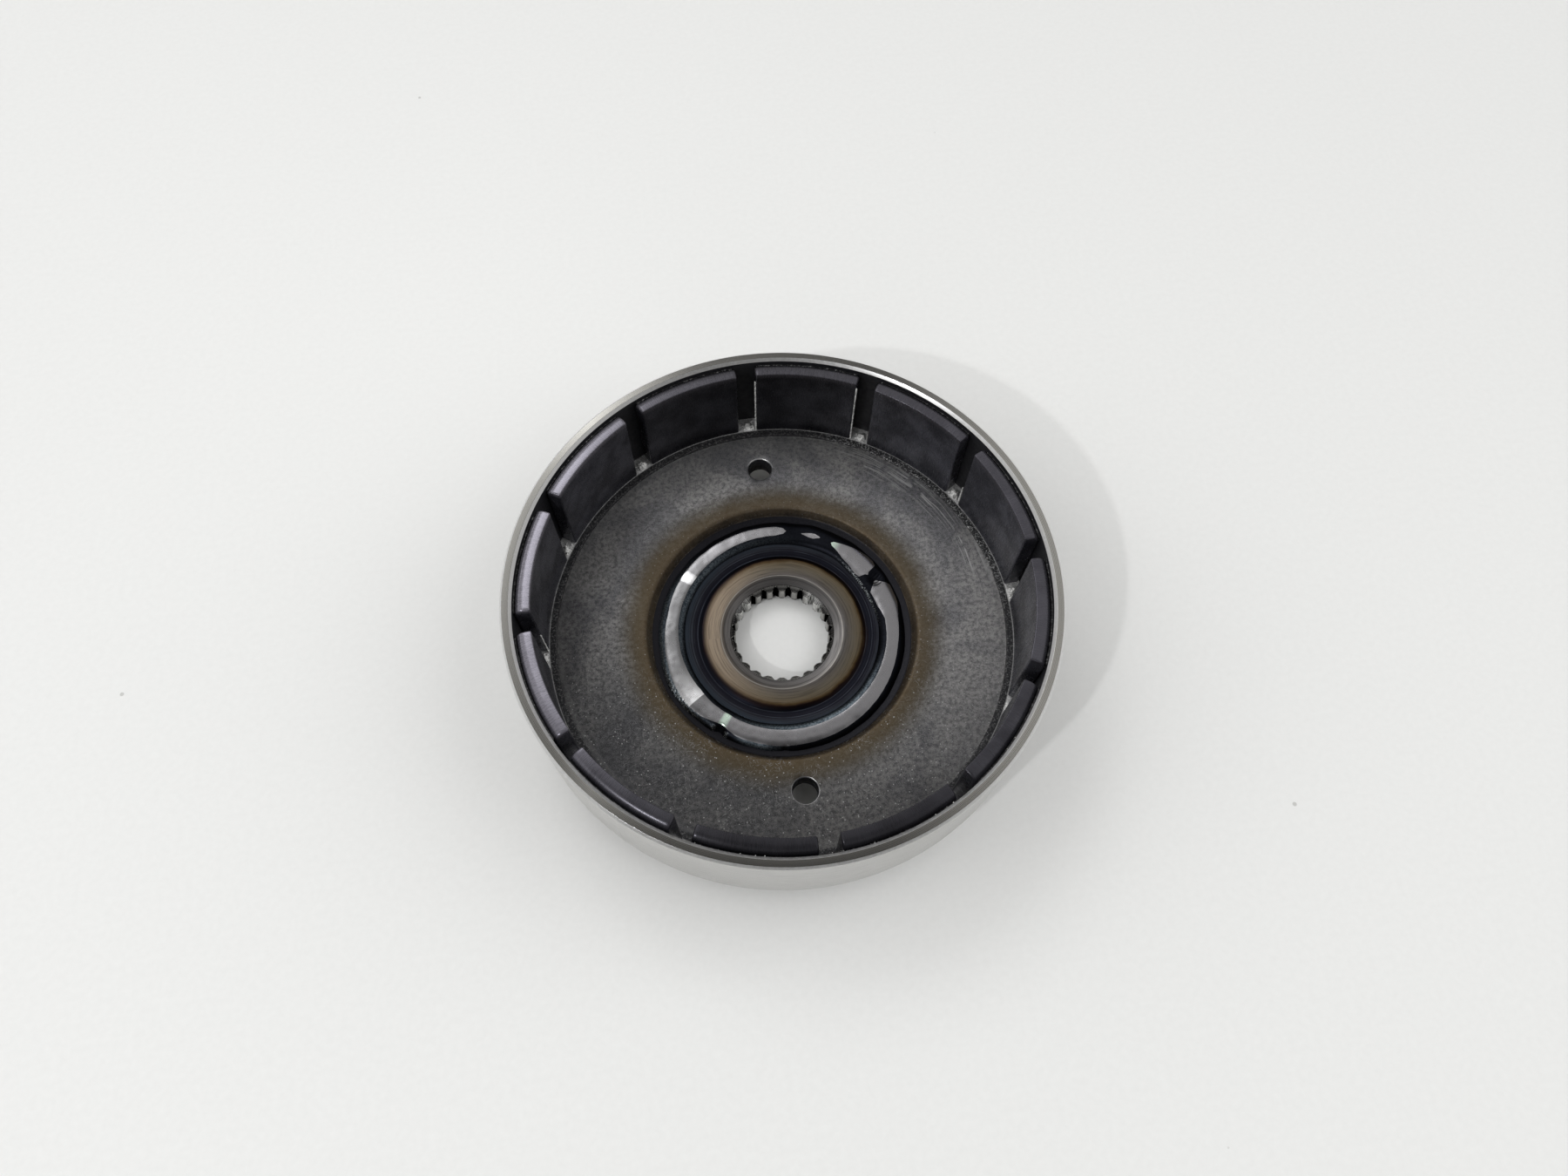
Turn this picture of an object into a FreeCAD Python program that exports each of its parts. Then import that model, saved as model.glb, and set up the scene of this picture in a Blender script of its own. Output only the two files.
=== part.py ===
import FreeCAD, Part
import math
import os
import re
import Sketcher

# Rotor of a permanent-magnet alternator: the magneto flywheel of a small engine.
#
# A turned steel cup carries twelve arc magnets, each bonded to the inside of its wall and
# standing on a thin spacer ring. A splined hub is let into the cup's web from below and
# welded to it all round on the open side. Two puller holes go through the web.
#
# The frame: Z is the axis of rotation, z = 0 is the hub's foot, and the cup opens towards +Z.
# The puller holes lie on the Y axis. All sizes are in millimetres, angles in degrees.

SIZES = {
    # The cup
    "outer_radius": 67.0,
    "total_height": 37.5,
    "wall_thickness": 2.8,
    "rim_outer_chamfer": 0.6,
    "rim_inner_chamfer": 0.7,
    "corner_radius": 7.0,
    "web_bottom": 4.4,
    "web_thickness": 5.6,
    "puller_hole_radius": 3.2,
    "puller_circle_radius": 45.6,
    "puller_circle_offset": 2.2,
    "puller_hole_chamfer": 0.3,
    # The weld and its groove
    "groove_radius": 35.3,
    "groove_foot_radius": 34.0,
    "groove_foot_height": 7.4,
    "weld_outer_radius": 32.4,
    "weld_outer_height": 6.9,
    "weld_inner_radius": 25.4,
    "weld_inner_height": 7.2,
    "weld_crown_radius": 5.4,
    "weld_root_height": 5.2,
    # The hub
    "pilot_radius": 28.7,
    "flange_radius": 31.5,
    "flange_bottom": 1.4,
    "boss_radius": 24.0,
    "boss_chamfer": 0.5,
    "ledge_radius": 22.0,
    "ledge_height": 6.9,
    "face_radius": 20.9,
    "face_height": 7.4,
    "countersink_radius": 16.0,
    "bore_mouth_radius": 13.6,
    "bore_mouth_height": 6.65,
    "lead_in_height": 5.35,
    "foot_lead_in": 1.0,
    # The spline in the hub's bore
    "spline_teeth": 24,
    "spline_tip_radius": 12.2,
    "spline_root_radius": 13.4,
    "tooth_land": 1.0,
    "root_flat": 0.3,
    # The magnets and what holds them
    "magnet_count": 12,
    "first_magnet_angle": 16.8,
    "magnet_inner_radius": 60.0,
    "magnet_thickness": 3.9,
    "magnet_arc": 25.3,
    "magnet_end_bulge": 0.6,
    "magnet_recess": 0.7,
    "magnet_outer_round": 2.4,
    "magnet_edge_round": 0.25,
    "spacer_inner_radius": 58.2,
    "spacer_thickness": 0.8,
    "bond_recess": 1.4,
}

# Lengths that several sub-parts share, as expressions in the names above
WALL_INNER = "(outer_radius - wall_thickness)"
FLOOR = "(web_bottom + web_thickness)"
SPACER_TOP = "(web_bottom + web_thickness + spacer_thickness)"
MAGNET_OUTER = "(magnet_inner_radius + magnet_thickness)"
MAGNET_HEIGHT = "(total_height - magnet_recess - web_bottom - web_thickness - spacer_thickness)"
HALF_ARC = "(magnet_arc / 2 * 1 deg)"

ORIGIN = -1
START, END, CENTRE = 1, 2, 3

doc = FreeCAD.newDocument("AlternatorRotor")


def make_sheet():
    """The driving dimensions, one per row: a name and its value."""
    sheet = doc.addObject("Spreadsheet::Sheet", "Sizes")
    for row, (name, value) in enumerate(SIZES.items(), start=1):
        sheet.set(f"A{row}", name)
        sheet.set(f"B{row}", str(value))
        sheet.setAlias(f"B{row}", name)
    doc.recompute()


def bound(text):
    """An expression that reads each dimension it names from the sheet."""
    return re.sub(r"[a-z_]+", lambda word: "Sizes." + word[0] if word[0] in SIZES else word[0], text)


def new_body(label):
    body = doc.addObject("PartDesign::Body", label)
    body.Label = label
    return body


def origin_feature(body, role):
    return next(feature for feature in body.Origin.OriginFeatures if feature.Role == role)


def new_sketch(body, name, plane, height=None):
    """A sketch on one of the body's own planes, raised along its normal if a height is given."""
    sketch = body.newObject("Sketcher::SketchObject", name)
    sketch.AttachmentSupport = [(origin_feature(body, plane), "")]
    sketch.MapMode = "FlatFace"
    if height:
        sketch.setExpression("AttachmentOffset.Base.z", bound(height))
    return sketch


def bind(sketch, constraint, expression):
    """Add a constraint to a sketch and let an expression drive its value."""
    index = sketch.addConstraint(constraint)
    sketch.setExpression(f"Constraints[{index}]", bound(expression))


def set_radius(sketch, edge, expression):
    bind(sketch, Sketcher.Constraint("Radius", edge, sketch.Geometry[edge].Radius), expression)


def place(sketch, edge, end, across=None, up=None):
    """Fix a vertex's distance from the sketch's origin along one or both of its axes."""
    now = sketch.getPoint(edge, end)
    if across:
        bind(sketch, Sketcher.Constraint("DistanceX", ORIGIN, START, edge, end, now.x), across)
    if up:
        bind(sketch, Sketcher.Constraint("DistanceY", ORIGIN, START, edge, end, now.y), up)


def join(sketch, *ends):
    """Join the ends of edges in pairs: (edge, end, next edge, its end)."""
    for pair in ends:
        sketch.addConstraint(Sketcher.Constraint("Coincident", *pair))


def closed_outline(sketch, corners):
    """A closed outline of straight edges with one (across, up) pair of expressions per corner."""
    count = len(corners)
    turns = [2 * math.pi * corner / count for corner in range(count)]
    rough = [FreeCAD.Vector(40 + 10 * math.cos(turn), 20 + 10 * math.sin(turn), 0) for turn in turns]
    sketch.addGeometry([Part.LineSegment(rough[i], rough[(i + 1) % count]) for i in range(count)])
    join(sketch, *[(i, END, (i + 1) % count, START) for i in range(count)])
    for edge, (across, up) in enumerate(corners):
        place(sketch, edge, START, across, up)


def revolve(body, sketch):
    """Turn an outline in the XZ plane once round the Z axis."""
    solid = body.newObject("PartDesign::Revolution", sketch.Name + "Turned")
    solid.Profile = sketch
    solid.ReferenceAxis = (sketch, ["V_Axis"])
    solid.Angle = 360


def pad(body, sketch, length):
    solid = body.newObject("PartDesign::Pad", sketch.Name + "Pad")
    solid.Profile = sketch
    solid.setExpression("Length", bound(length))


def cut_through(body, sketch):
    """Cut an outline in the XY plane upwards, right through the body."""
    before = body.Shape.Volume
    cut = body.newObject("PartDesign::Pocket", sketch.Name + "Cut")
    cut.Profile = sketch
    cut.Type = "ThroughAll"
    cut.Reversed = True
    doc.recompute()
    if body.Shape.Volume >= before:
        raise RuntimeError(f"{sketch.Name} cuts nothing")
    return cut


def dress(body, kind, size, accept):
    """Fillet or chamfer the edges of the body's last feature that accept(edge) picks."""
    doc.recompute()
    last = body.Tip
    names = [f"Edge{n}" for n, edge in enumerate(last.Shape.Edges, start=1) if accept(edge)]
    dressed = body.newObject(f"PartDesign::{kind}", f"{body.Name}{kind}{len(body.Group)}")
    dressed.Base = (last, names)
    dressed.setExpression("Radius" if kind == "Fillet" else "Size", bound(size))
    doc.recompute()


def lies_at(edge, height):
    """True for an edge whose every vertex has this height."""
    return all(abs(vertex.Z - height) < 1e-4 for vertex in edge.Vertexes)


def make_cup():
    """The steel cup: a thin wall with a chamfered rim, on a thick flat web with a weld groove."""
    body = new_body("rotor_cup")
    sketch = new_sketch(body, "CupSection", "XZ_Plane")
    closed_outline(sketch, [
        ("pilot_radius", "web_bottom"),
        ("outer_radius", "web_bottom"),
        ("outer_radius", "total_height - rim_outer_chamfer"),
        ("outer_radius - rim_outer_chamfer", "total_height"),
        (WALL_INNER + " + rim_inner_chamfer", "total_height"),
        (WALL_INNER, "total_height - rim_inner_chamfer"),
        (WALL_INNER, FLOOR),
        ("groove_radius", FLOOR),
        ("groove_foot_radius", "groove_foot_height"),
        ("weld_outer_radius", "weld_outer_height"),
        ("pilot_radius", "weld_root_height"),
    ])
    revolve(body, sketch)
    outside = SIZES["outer_radius"]
    bottom = SIZES["web_bottom"]
    dress(body, "Fillet", "corner_radius",
          lambda edge: lies_at(edge, bottom) and edge.BoundBox.XMax > outside - 0.01)

    holes = new_sketch(body, "PullerHoles", "XY_Plane")
    for index, side in enumerate((1, -1)):
        middle = side * SIZES["puller_circle_radius"] + SIZES["puller_circle_offset"]
        centre = FreeCAD.Vector(0, middle, 0)
        up = FreeCAD.Vector(0, 0, 1)
        holes.addGeometry(Part.Circle(centre, up, SIZES["puller_hole_radius"]))
        holes.addConstraint(Sketcher.Constraint("PointOnObject", index, CENTRE, -2))
        set_radius(holes, index, "puller_hole_radius")
        place(holes, index, CENTRE, up=f"{side} * puller_circle_radius + puller_circle_offset")
    cut_through(body, holes)
    floor = SIZES["web_bottom"] + SIZES["web_thickness"]
    widest_hole = 2 * SIZES["puller_hole_radius"] + 0.01
    dress(body, "Chamfer", "puller_hole_chamfer",
          lambda edge: lies_at(edge, floor) and edge.BoundBox.XLength < widest_hole)


def make_hub():
    """The hub: a boss and flange below the web, a pilot through it and a splined bore."""
    body = new_body("splined_hub")
    sketch = new_sketch(body, "HubSection", "XZ_Plane")
    closed_outline(sketch, [
        ("bore_mouth_radius", "0"),
        ("boss_radius - boss_chamfer", "0"),
        ("boss_radius", "boss_chamfer"),
        ("boss_radius", "flange_bottom"),
        ("flange_radius - boss_chamfer", "flange_bottom"),
        ("flange_radius", "flange_bottom + boss_chamfer"),
        ("flange_radius", "web_bottom"),
        ("pilot_radius", "web_bottom"),
        ("pilot_radius", "weld_root_height"),
        ("weld_inner_radius", "weld_inner_height"),
        ("ledge_radius", "ledge_height"),
        ("face_radius", "face_height"),
        ("countersink_radius", "face_height"),
        ("bore_mouth_radius", "bore_mouth_height"),
        ("spline_tip_radius", "lead_in_height"),
        ("spline_tip_radius", "foot_lead_in"),
    ])
    revolve(body, sketch)
    doc.recompute()

    space = new_sketch(body, "ToothSpace", "XY_Plane")
    pitch = "(360 / spline_teeth / 2 * 1 deg)"
    half_space = f"(spline_tip_radius * sin{pitch} - tooth_land / 2)"
    closed_outline(space, [
        ("spline_tip_radius - 1", half_space),
        ("spline_tip_radius - 1", "-" + half_space),
        ("spline_tip_radius", "-" + half_space),
        ("spline_root_radius", "-root_flat / 2"),
        ("spline_root_radius", "root_flat / 2"),
        ("spline_tip_radius", half_space),
    ])
    cut = cut_through(body, space)
    pattern = body.newObject("PartDesign::PolarPattern", "Spline")
    pattern.Originals = [cut]
    pattern.Axis = (origin_feature(body, "Z_Axis"), [""])
    pattern.Angle = 360
    pattern.setExpression("Occurrences", bound("spline_teeth"))
    body.Tip = pattern


def make_weld():
    """The weld bead: a crowned ring that fills the groove between the web and the hub."""
    body = new_body("weld_bead")
    sketch = new_sketch(body, "BeadSection", "XZ_Plane")
    crown = SIZES["weld_crown_radius"]
    outer = FreeCAD.Vector(SIZES["weld_outer_radius"], SIZES["weld_outer_height"], 0)
    root = FreeCAD.Vector(SIZES["pilot_radius"], SIZES["weld_root_height"], 0)
    inner = FreeCAD.Vector(SIZES["weld_inner_radius"], SIZES["weld_inner_height"], 0)
    below = FreeCAD.Vector((outer.x + inner.x) / 2, (outer.y + inner.y) / 2 - crown, 0)
    circle = Part.Circle(below, FreeCAD.Vector(0, 0, 1), crown)
    sketch.addGeometry([
        Part.LineSegment(outer, root),
        Part.LineSegment(root, inner),
        Part.ArcOfCircle(circle, math.radians(60), math.radians(120)),
    ])
    join(sketch, (0, END, 1, START), (1, END, 2, END), (2, START, 0, START))
    set_radius(sketch, 2, "weld_crown_radius")
    place(sketch, 0, START, "weld_outer_radius", "weld_outer_height")
    place(sketch, 1, START, "pilot_radius", "weld_root_height")
    place(sketch, 1, END, "weld_inner_radius", "weld_inner_height")
    revolve(body, sketch)


def make_spacer_ring():
    """The flat ring on the cup's floor that the magnets stand on."""
    body = new_body("spacer_ring")
    sketch = new_sketch(body, "SpacerSection", "XZ_Plane")
    closed_outline(sketch, [
        ("spacer_inner_radius", FLOOR),
        (WALL_INNER, FLOOR),
        (WALL_INNER, SPACER_TOP),
        ("spacer_inner_radius", SPACER_TOP),
    ])
    revolve(body, sketch)


def turn_to_magnet(body, index):
    """Turn a body drawn on the X axis round to the place of magnet number index."""
    body.Placement = FreeCAD.Placement(FreeCAD.Vector(0, 0, 0), FreeCAD.Rotation(FreeCAD.Vector(0, 0, 1), 10))
    angle = f"(first_magnet_angle + {index} * 360 / magnet_count) * 1 deg"
    body.setExpression("Placement.Rotation.Angle", bound(angle))


def sector_arc(radius, half_angle):
    circle = Part.Circle(FreeCAD.Vector(0, 0, 0), FreeCAD.Vector(0, 0, 1), radius)
    return Part.ArcOfCircle(circle, -half_angle, half_angle)


def make_magnet(index):
    """An arc magnet whose ends bulge at mid-thickness, with a well rounded top outer edge."""
    body = new_body(f"magnet_{index + 1:02d}")
    sketch = new_sketch(body, f"MagnetPlan{index + 1}", "XY_Plane", SPACER_TOP)
    inner = SIZES["magnet_inner_radius"]
    outer = inner + SIZES["magnet_thickness"]
    half_angle = math.radians(SIZES["magnet_arc"] / 2)
    inner_arc = sector_arc(inner, half_angle)
    outer_arc = sector_arc(outer, half_angle)
    middle = sector_arc((inner + outer) / 2, half_angle)
    sketch.addGeometry([
        inner_arc,
        outer_arc,
        Part.LineSegment(inner_arc.StartPoint, middle.StartPoint),
        Part.LineSegment(middle.StartPoint, outer_arc.StartPoint),
        Part.LineSegment(inner_arc.EndPoint, middle.EndPoint),
        Part.LineSegment(middle.EndPoint, outer_arc.EndPoint),
    ])
    join(sketch, (0, CENTRE, ORIGIN, START), (1, CENTRE, ORIGIN, START),
         (0, START, 2, START), (2, END, 3, START), (3, END, 1, START),
         (0, END, 4, START), (4, END, 5, START), (5, END, 1, END))
    set_radius(sketch, 0, "magnet_inner_radius")
    set_radius(sketch, 1, MAGNET_OUTER)
    middle_radius = "(magnet_inner_radius + magnet_thickness / 2)"
    middle_across = f"{middle_radius} * cos{HALF_ARC} - magnet_end_bulge * sin{HALF_ARC}"
    middle_up = f"({middle_radius} * sin{HALF_ARC} + magnet_end_bulge * cos{HALF_ARC})"
    outer_up = f"({MAGNET_OUTER} * sin{HALF_ARC} - magnet_end_bulge * cos{HALF_ARC})"
    inner_up = f"magnet_inner_radius * sin{HALF_ARC}"
    for side, inner_line, outer_line in (("-", 2, 3), ("", 4, 5)):
        place(sketch, inner_line, START, up=side + inner_up)
        place(sketch, outer_line, START, middle_across, side + middle_up)
        place(sketch, outer_line, END, up=side + outer_up)
    pad(body, sketch, MAGNET_HEIGHT)

    top = SIZES["total_height"] - SIZES["magnet_recess"]
    dress(body, "Fillet", "magnet_outer_round",
          lambda edge: lies_at(edge, top) and edge.BoundBox.XMax > outer - 0.01)
    dress(body, "Fillet", "magnet_edge_round",
          lambda edge: lies_at(edge, top) and edge.BoundBox.XMax < inner + 0.01)
    turn_to_magnet(body, index)


def make_bond(index):
    """The layer of adhesive between a magnet's back and the wall of the cup."""
    body = new_body(f"magnet_bond_{index + 1:02d}")
    sketch = new_sketch(body, f"BondPlan{index + 1}", "XY_Plane", SPACER_TOP)
    back = SIZES["magnet_inner_radius"] + SIZES["magnet_thickness"]
    wall = SIZES["outer_radius"] - SIZES["wall_thickness"]
    half_angle = math.radians(SIZES["magnet_arc"] / 2)
    back_arc = sector_arc(back, half_angle)
    wall_arc = sector_arc(wall, half_angle)
    sketch.addGeometry([
        back_arc,
        wall_arc,
        Part.LineSegment(back_arc.StartPoint, wall_arc.StartPoint),
        Part.LineSegment(back_arc.EndPoint, wall_arc.EndPoint),
    ])
    join(sketch, (0, CENTRE, ORIGIN, START), (1, CENTRE, ORIGIN, START),
         (0, START, 2, START), (2, END, 1, START), (0, END, 3, START), (3, END, 1, END))
    set_radius(sketch, 0, MAGNET_OUTER)
    set_radius(sketch, 1, WALL_INNER)
    half_width = f"({MAGNET_OUTER} * sin{HALF_ARC} - magnet_end_bulge * cos{HALF_ARC})"
    for side, line in (("-", 2), ("", 3)):
        place(sketch, line, START, up=side + half_width)
        place(sketch, line, END, up=side + half_width)
    pad(body, sketch, f"{MAGNET_HEIGHT} - bond_recess")
    turn_to_magnet(body, index)


def check_model():
    """Stop if any object failed to compute or any sub-part isn't one valid solid."""
    doc.recompute()
    for thing in doc.Objects:
        if "Invalid" in thing.State or "Error" in thing.State:
            raise RuntimeError(f"{thing.Name} failed: {thing.State}")
        if thing.isDerivedFrom("Sketcher::SketchObject") and not thing.FullyConstrained:
            raise RuntimeError(f"{thing.Name} is not fully constrained")
    for body in doc.findObjects("PartDesign::Body"):
        shape = body.Shape
        if shape.isNull() or not shape.isValid() or len(shape.Solids) != 1:
            raise RuntimeError(f"{body.Label} is not one valid solid")


def export_parts():
    os.makedirs("parts", exist_ok=True)
    for body in doc.findObjects("PartDesign::Body"):
        body.Shape.exportStep(f"parts/{body.Label}.step")
        print(f"{body.Label}: {body.Shape.Volume:.1f} mm3")


make_sheet()
make_cup()
make_hub()
make_weld()
make_spacer_ring()
for number in range(SIZES["magnet_count"]):
    make_magnet(number)
    make_bond(number)
check_model()
export_parts()
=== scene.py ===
import math
import random

import bmesh
import bpy
from mathutils import Matrix, Vector, noise


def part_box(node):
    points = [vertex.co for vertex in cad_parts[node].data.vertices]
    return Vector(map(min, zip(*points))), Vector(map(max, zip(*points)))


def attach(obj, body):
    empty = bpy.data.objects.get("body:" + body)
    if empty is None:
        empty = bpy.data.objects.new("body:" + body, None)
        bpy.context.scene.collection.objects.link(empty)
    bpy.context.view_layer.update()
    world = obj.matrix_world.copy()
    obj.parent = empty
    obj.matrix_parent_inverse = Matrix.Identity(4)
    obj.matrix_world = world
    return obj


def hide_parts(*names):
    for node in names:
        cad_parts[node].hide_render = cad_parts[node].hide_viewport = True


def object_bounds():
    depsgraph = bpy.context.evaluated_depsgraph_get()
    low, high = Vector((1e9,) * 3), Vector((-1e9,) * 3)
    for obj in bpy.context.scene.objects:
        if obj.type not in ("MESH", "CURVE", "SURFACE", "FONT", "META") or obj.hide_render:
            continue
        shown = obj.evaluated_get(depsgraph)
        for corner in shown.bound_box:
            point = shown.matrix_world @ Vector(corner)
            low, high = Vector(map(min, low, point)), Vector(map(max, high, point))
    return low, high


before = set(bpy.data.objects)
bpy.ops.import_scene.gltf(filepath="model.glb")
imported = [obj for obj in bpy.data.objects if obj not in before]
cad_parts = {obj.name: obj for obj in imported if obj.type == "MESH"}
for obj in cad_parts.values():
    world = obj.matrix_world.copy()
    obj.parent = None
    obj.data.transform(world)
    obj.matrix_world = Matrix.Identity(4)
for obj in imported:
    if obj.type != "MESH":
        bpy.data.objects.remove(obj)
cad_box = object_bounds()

# The rotor of a permanent-magnet alternator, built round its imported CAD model.
# Z is the axis of rotation and the cup opens towards +Z. Every piece is drawn in millimetres
# round that axis and scaled to metres once, in new_piece(). Angles are in degrees,
# anticlockwise from +X, seen from the open side.

MM = 0.001
FULL_TURN = 360.0
VIEW_TURN = 9.3  # seen from above, the camera looks this far clockwise of +Y


# ------------ sizes, read from the frame

def radii(node):
    """The least and greatest distance of a CAD node's points from the axis, in mm."""
    found = [vertex.co.xy.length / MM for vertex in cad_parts[node].data.vertices]
    return min(found), max(found)


def heights(node):
    """The lowest and highest point of a CAD node, in mm."""
    low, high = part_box(node)
    return low.z / MM, high.z / MM


OUTER_R = radii("rotor_cup")[1]
PILOT_R = radii("rotor_cup")[0]
WEB_BOTTOM, RIM_TOP = heights("rotor_cup")
SPACER_INNER_R, WALL_R = radii("spacer_ring")
FLOOR, SPACER_TOP = heights("spacer_ring")
WELD_INNER_R, WELD_OUTER_R = radii("weld_bead")
WELD_ROOT = heights("weld_bead")[0]
TIP_R, FLANGE_R = radii("splined_hub")
MAGNET_R, MAGNET_BACK_R = radii("magnet_01")
MAGNET_TOP = heights("magnet_01")[1]

# The cup: its corner, its rim's chamfers, the edge and foot of the groove beside the weld, as
# (radius, height), and the puller holes, as (angle, radius)
CORNER_ROUND = 7.0
RIM_OUTER_CHAMFER = 0.6
RIM_INNER_CHAMFER = 0.7
GROOVE = (35.3, FLOOR)
GROOVE_FOOT = (34.0, 7.4)
HOLES = [(90, 47.8), (270, 43.4)]
HOLE_R = 3.2
HOLE_CHAMFER = 0.35

# The hub: its foot, its flange, the flat face's edge and the ledge round it, and the bore
BOSS_R = 24.0
BOSS_CHAMFER = 0.5
FLANGE_BOTTOM = 1.4
FACE_EDGE = (20.9, 7.4)
LEDGE = (22.0, 6.9)
COUNTERSINK_R = 16.0
BORE_MOUTH = (13.6, 6.65)
LEAD_IN_TOP = 5.35
FOOT_LEAD_IN = 1.0
TEETH = 24
ROOT_R = 13.4
TOOTH_LAND = 1.0
ROOT_FLAT = 0.3

# The magnets, by angle, and the squeezed-out seams beside them, as (gap after this magnet,
# the gap's side, lowest height, highest height)
MAGNETS = [name for name in sorted(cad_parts) if name.startswith("magnet_") and "bond" not in name]
MAGNET_STEP = FULL_TURN / len(MAGNETS)
FIRST_MAGNET = 16.8
MAGNET_ARC = 25.3
MAGNET_ROUND = 2.4
END_ROUND = 0.5
SEAMS = [(2, -1, 11.0, 34.0), (1, 1, 11.0, 33.0), (1, 1, 30.0, 35.0), (5, -1, 11.0, 22.0),
         (0, -1, 11.0, 20.0)]
SMALL_PLUGS = (2, 6, 8)

# The weld: the heights of its toes and crown, and where its silver band, its end pool and one
# patch lie, as (angle, inner radius, outer radius)
WELD_OUTER_TOE = 6.9
WELD_INNER_TOE = 7.2
CROWN = 1.3
BAND = [(82, 28.2, 29.9), (86, 27.7, 30.4), (138, 27.3, 30.8), (165, 27.2, 30.3), (200, 26.8, 31.4),
        (211, 26.6, 31.8), (222, 26.8, 31.2), (232, 26.8, 29.9), (241, 27.0, 31.1), (260, 27.2, 31.3),
        (300, 27.2, 30.9), (345, 27.4, 30.4), (360, 27.2, 30.8), (368, 26.2, 31.7), (377.5, 25.9, 31.8)]
POOL = [(28.5, 27.4, 28.6), (29.5, 25.8, 31.2), (33, 25.6, 32.0), (36, 25.8, 31.9),
        (45, 26.5, 30.6), (54, 28.1, 29.3)]
PATCH = [(62, 28.8, 29.2), (65, 28.1, 29.7), (68, 28.2, 29.5), (72, 28.8, 29.0)]
# Spots on it, as (angle, radius), and its other marks' angles
CRATER = (23.5, 29.2)
TACK = (232.5, 31.6)
SPILL_ANGLE = 24.0
SUNKEN_ANGLE = 68.0
CRUST_ANGLE = 203.0
NICK_ANGLE = 264.0


# ------------ shapes

def polar(radius, angle):
    return radius * math.cos(math.radians(angle)), radius * math.sin(math.radians(angle))


def new_piece(name, bm, materials, sharp=32.0, paint=None):
    """Turn a bmesh in millimetres into a smooth-shaded piece that rides on the rotor.

    paint maps a name to one number per point, which the piece's shader can read.
    """
    bmesh.ops.scale(bm, vec=(MM, MM, MM), verts=bm.verts)
    bmesh.ops.recalc_face_normals(bm, faces=bm.faces)
    bm.normal_update()
    for face in bm.faces:
        face.smooth = True
    for edge in bm.edges:
        edge.smooth = not edge.is_manifold or edge.calc_face_angle() < math.radians(sharp)
    mesh = bpy.data.meshes.new(name)
    bm.to_mesh(mesh)
    bm.free()
    for material in materials:
        mesh.materials.append(material)
    for layer, values in (paint or {}).items():
        mesh.attributes.new(layer, "FLOAT", "POINT").data.foreach_set("value", values)
    piece = bpy.data.objects.new(name, mesh)
    bpy.context.scene.collection.objects.link(piece)
    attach(piece, "root")
    return piece


def rounded(corners, steps=6):
    """An outline of (r, z, rounding, material) corners, with its roundings turned into arcs."""
    outline = []
    for index, (r, z, rounding, material) in enumerate(corners):
        here = Vector((r, z))
        before = Vector(corners[index - 1][:2]) - here
        after = Vector(corners[(index + 1) % len(corners)][:2]) - here
        if not rounding:
            outline.append((r, z, material))
            continue
        turn = math.pi - before.angle(after)
        reach = rounding * math.tan(turn / 2)
        start = here + before.normalized() * reach
        middle = here + (before.normalized() + after.normalized()).normalized() * math.hypot(reach, rounding)
        end = here + after.normalized() * reach
        first = start - middle
        sweep = first.angle_signed(end - middle)
        for step in range(steps + 1):
            share = step / steps
            spoke = Matrix.Rotation(-sweep * share, 2) @ first
            point = middle + spoke
            outline.append((point.x, point.y, corners[index - 1][3] if share < 0.5 else material))
    return outline


def spaced(outline, longest):
    """The same outline with its long stretches divided into steps no longer than this."""
    result = []
    for index, (r, z, material) in enumerate(outline):
        next_r, next_z = outline[(index + 1) % len(outline)][:2]
        parts = max(1, math.ceil(math.hypot(next_r - r, next_z - z) / longest))
        for part in range(parts):
            share = part / parts
            result.append((r + (next_r - r) * share, z + (next_z - z) * share, material))
    return result


def lathe(outlines, angles):
    """A closed ring from one outline of (r, z, material) points per angle."""
    bm = bmesh.new()
    rings = []
    for outline, angle in zip(outlines, angles):
        rings.append([bm.verts.new((*polar(r, angle), z)) for r, z, _ in outline])
    count = len(rings[0])
    for index, ring in enumerate(rings):
        following = rings[(index + 1) % len(rings)]
        for point in range(count):
            after = (point + 1) % count
            face = bm.faces.new((ring[point], following[point], following[after], ring[after]))
            face.material_index = outlines[0][point][2]
    return bm


def turned(outline, steps):
    """A plain turned ring: one outline taken right round the axis in equal steps."""
    angles = [FULL_TURN * step / steps for step in range(steps)]
    return lathe([outline] * steps, angles)


def apart(angle, other):
    """The angle from one direction to another, between -180 and 180."""
    return (angle - other + 180) % FULL_TURN - 180


def hump(value, middle, width):
    """A smooth hump of height 1 at the middle, falling to 0 one width away."""
    share = min(1.0, abs(value - middle) / width)
    return (math.cos(math.pi * share) + 1) / 2


# ------------ materials

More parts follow.
